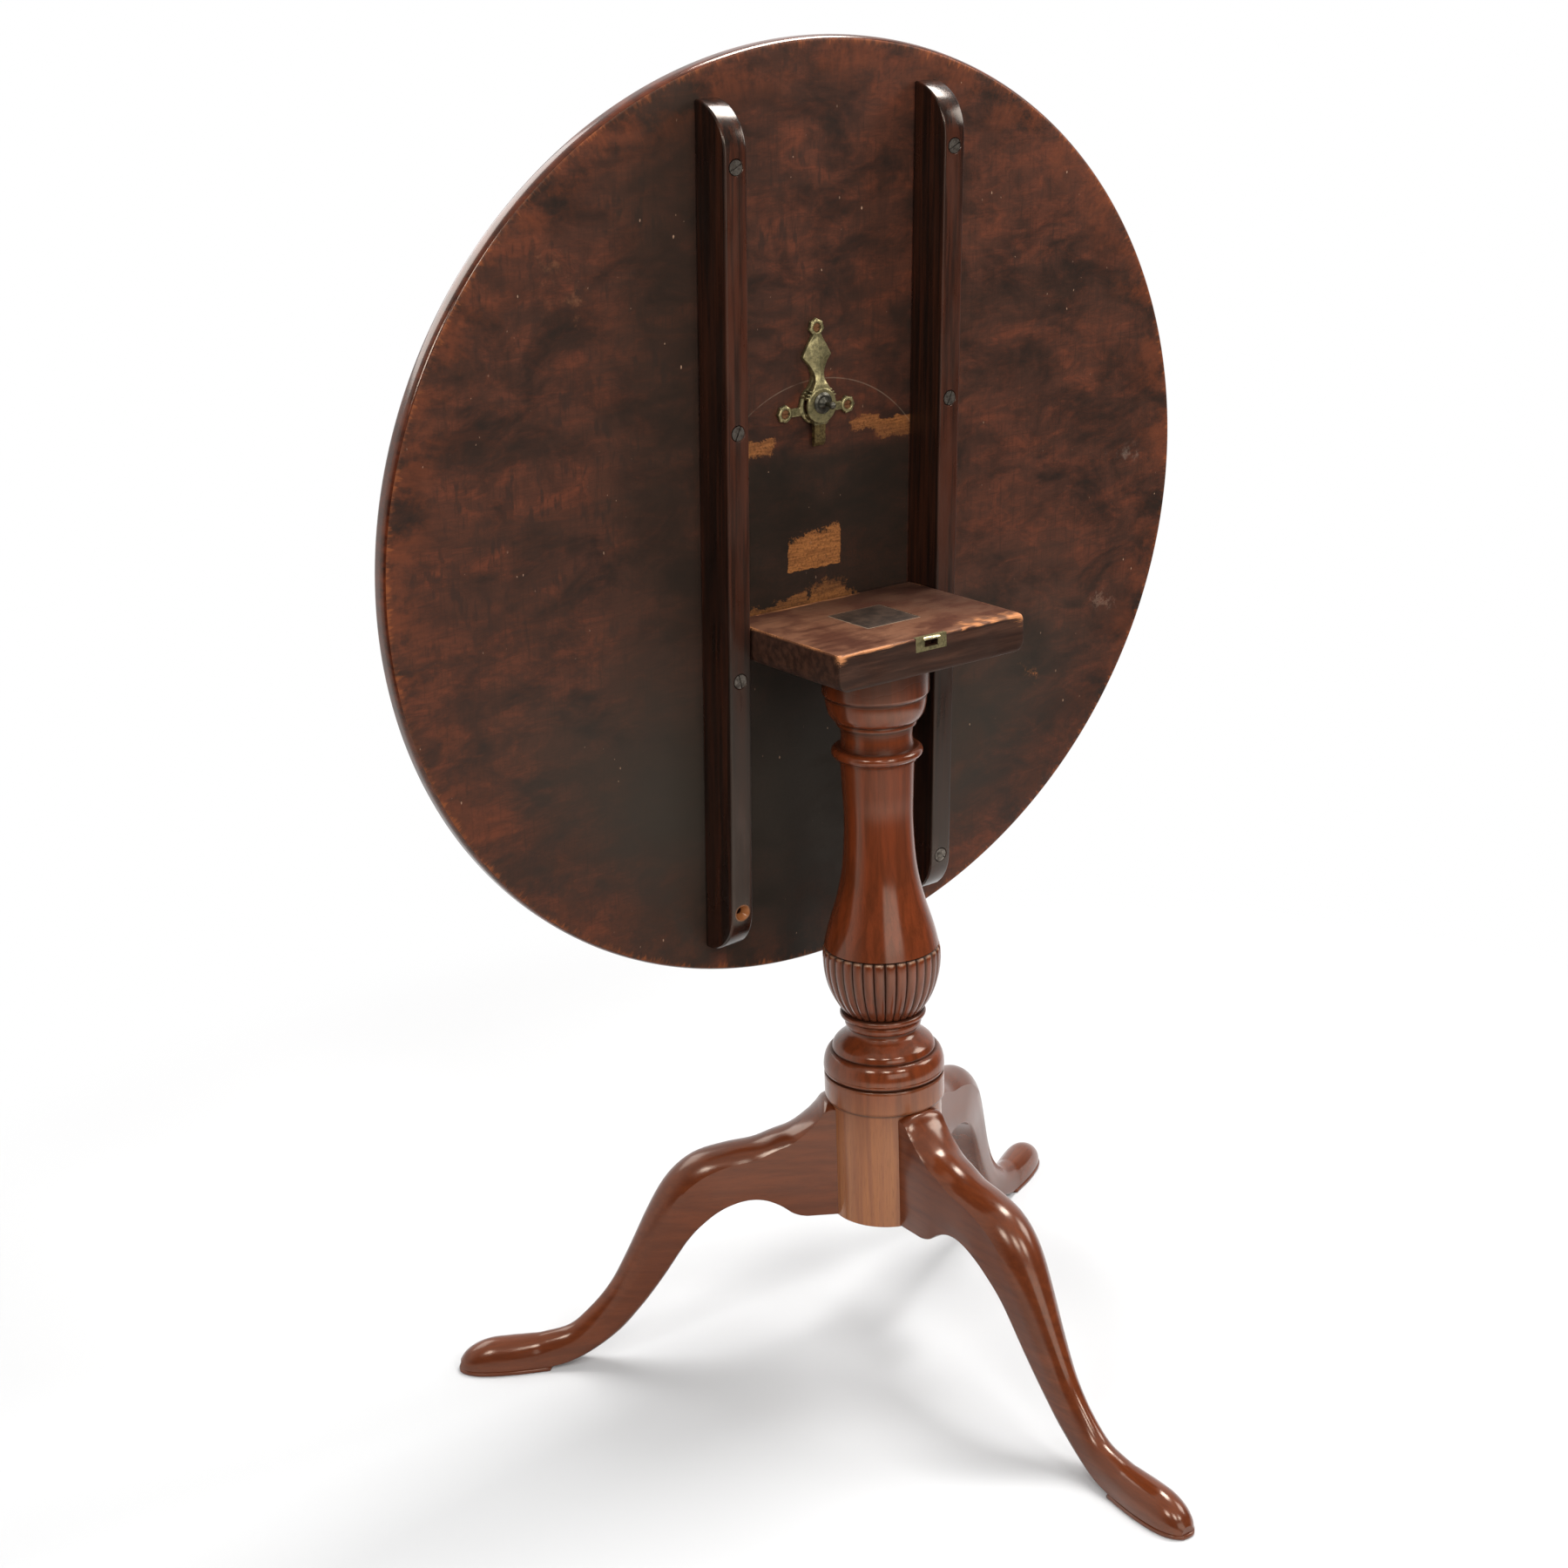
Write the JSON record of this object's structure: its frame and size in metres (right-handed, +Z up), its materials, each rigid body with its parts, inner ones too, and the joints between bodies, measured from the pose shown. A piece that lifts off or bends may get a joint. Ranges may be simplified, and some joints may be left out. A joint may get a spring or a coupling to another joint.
{
  "type": "tilt_top_tripod_table",
  "caption": "Tilt-top tripod table in mahogany: a round top on bearers that turn on a block's pintles, held flat by a brass spring catch, over a reeded pillar with cabriole legs",
  "frame": {"origin": "on the floor, in the middle of the table's bounding box as it stands with its top up; the pillar's axis is 90 mm behind it", "axes": "+X along the hinge and the grain of the top, towards the bearer on the right as seen from the catch's side; +Y away from the side that the underside of the tilted top faces; +Z up along the pillar"},
  "size_m": [0.826, 0.6066, 1.1507],
  "materials": {
    "mahogany_top": "mahogany, darkened and unevenly stained underneath, with a polished rim",
    "dark_mahogany": "mahogany, nearly black with age, dull wax",
    "block_mahogany": "mahogany, worn to bare wood at the edges",
    "polished_mahogany": "mahogany, shellac polish",
    "old_steel": "steel, dulled and brown in the recesses",
    "wrought_iron": "wrought iron, black scale",
    "aged_brass": "cast brass, tarnished to olive",
    "spring_steel": "tempered steel strip",
    "copper_brass": "brass screws, reddish with age"
  },
  "bodies": {
    "stand": {"block": "block_mahogany", "pillar": "polished_mahogany", "leg_front": "polished_mahogany", "leg_left": "polished_mahogany", "leg_right": "polished_mahogany", "leg_strap": "wrought_iron", "strap_screws": "wrought_iron", "keep_plate": "aged_brass", "keep_pins": "aged_brass"},
    "top": {"table_top": "mahogany_top", "bearer_left": "dark_mahogany", "bearer_right": "dark_mahogany", "bearer_screws_left": "old_steel", "bearer_screws_right": "old_steel", "catch_case": "aged_brass", "catch_spring": "spring_steel", "catch_screws": "copper_brass"},
    "bolt": {"catch_bolt": "aged_brass", "catch_knob": "old_steel", "catch_washer": "old_steel"}
  },
  "joints": [
    {"name": "top_tilt", "type": "hinge", "parent": "stand", "child": "top", "pos_m": [0, 0.16047, 0.6755], "axis": [1, 0, 0], "range_deg": [0, 87.1]},
    {"name": "bolt_slide", "type": "slide", "parent": "top", "child": "bolt", "axis": [0, -0.0506, 0.9987], "range_m": [0, 0.006], "stiffness_N_per_m": 300, "deforming": ["catch_spring"]}
  ]
}
